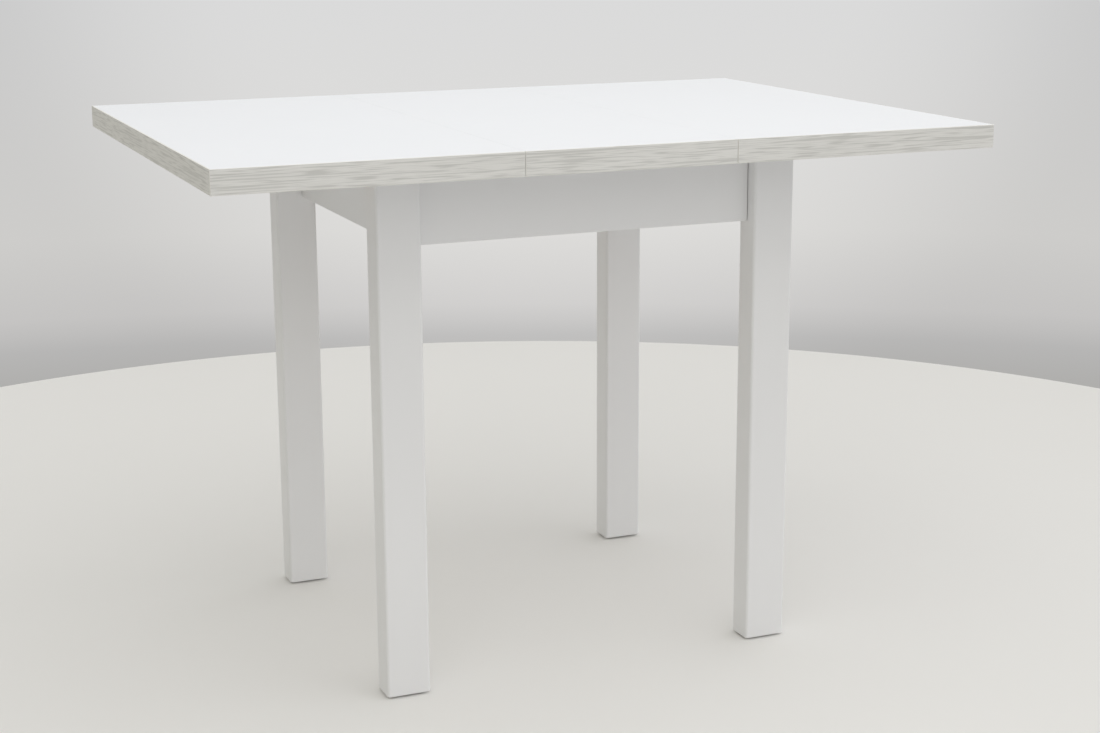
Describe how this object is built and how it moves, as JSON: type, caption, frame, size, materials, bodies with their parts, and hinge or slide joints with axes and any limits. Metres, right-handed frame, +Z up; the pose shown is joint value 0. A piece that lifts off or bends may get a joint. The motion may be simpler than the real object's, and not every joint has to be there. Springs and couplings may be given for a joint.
{
  "type": "extending dining table",
  "caption": "White extending dining table whose split top slides apart for a folding centre leaf, on a fixed apron frame with straight legs.",
  "frame": {"origin": "on the floor, under the middle of the open table", "axes": "+X along the table's length to its right end, +Y from the front to the back, +Z up"},
  "size_m": [1.1, 0.8, 0.76],
  "materials": {
    "laminate": "white melamine laminate on chipboard, satin",
    "edge_band": "pale grey wood-grain edge band",
    "lacquer": "white lacquer, satin",
    "beech": "bare planed beech",
    "zinc": "bright zinc plate",
    "brass": "turned brass",
    "nylon": "moulded dark nylon"
  },
  "bodies": {
    "base": {"leg_front_left": "lacquer", "leg_front_right": "lacquer", "leg_back_left": "lacquer", "leg_back_right": "lacquer", "apron_front": "lacquer", "apron_back": "lacquer", "apron_left": "lacquer", "apron_right": "lacquer", "glide_front_left": "nylon", "glide_front_right": "nylon", "glide_back_left": "nylon", "glide_back_right": "nylon", "corner_plate_front_left": "zinc", "corner_plate_front_right": "zinc", "corner_plate_back_left": "zinc", "corner_plate_back_right": "zinc", "hanger_bolt_front_left": "zinc", "hanger_bolt_front_right": "zinc", "hanger_bolt_back_left": "zinc", "hanger_bolt_back_right": "zinc", "hanger_washer_front_left": "zinc", "hanger_washer_front_right": "zinc", "hanger_washer_back_left": "zinc", "hanger_washer_back_right": "zinc", "hanger_nut_front_left": "zinc", "hanger_nut_front_right": "zinc", "hanger_nut_back_left": "zinc", "hanger_nut_back_right": "zinc", "guide_rail_front": "beech", "guide_rail_back": "beech", "guide_rail_screw_front_left": "zinc", "guide_rail_screw_front_right": "zinc", "guide_rail_screw_back_left": "zinc", "guide_rail_screw_back_right": "zinc", "tray_batten_left": "beech", "tray_batten_right": "beech"},
    "left_half": {"left_top_panel": "laminate", "left_band_front": "edge_band", "left_band_back": "edge_band", "left_band_end": "edge_band", "left_slide_front": "beech", "left_slide_back": "beech"},
    "right_half": {"right_top_panel": "laminate", "right_band_front": "edge_band", "right_band_back": "edge_band", "right_band_end": "edge_band", "right_slide_front": "beech", "right_slide_back": "beech"},
    "leaf_back": {"leaf_wing_back": "laminate", "leaf_band_back": "edge_band", "hinge_barrel_back_left": "brass", "hinge_barrel_back_right": "brass", "hinge_link_left": "zinc", "hinge_link_right": "zinc"},
    "leaf_front": {"leaf_wing_front": "laminate", "leaf_band_front": "edge_band", "hinge_barrel_front_left": "brass", "hinge_barrel_front_right": "brass"}
  },
  "joints": [
    {"name": "left_half_slide", "type": "slide", "parent": "base", "child": "left_half", "axis": [-1, 0, 0], "range_m": [0, 0.025]},
    {"name": "right_half_slide", "type": "slide", "parent": "base", "child": "right_half", "axis": [1, 0, 0], "range_m": [0, 0.025]},
    {"name": "leaf_lift", "type": "slide", "parent": "base", "child": "leaf_back", "axis": [0, 0, 1], "range_m": [0, 0.15]},
    {"name": "leaf_fold", "type": "hinge", "parent": "leaf_back", "child": "leaf_front", "pos_m": [0, 0, 0.7603], "axis": [-1, 0, 0], "range_deg": [0, 180]}
  ]
}
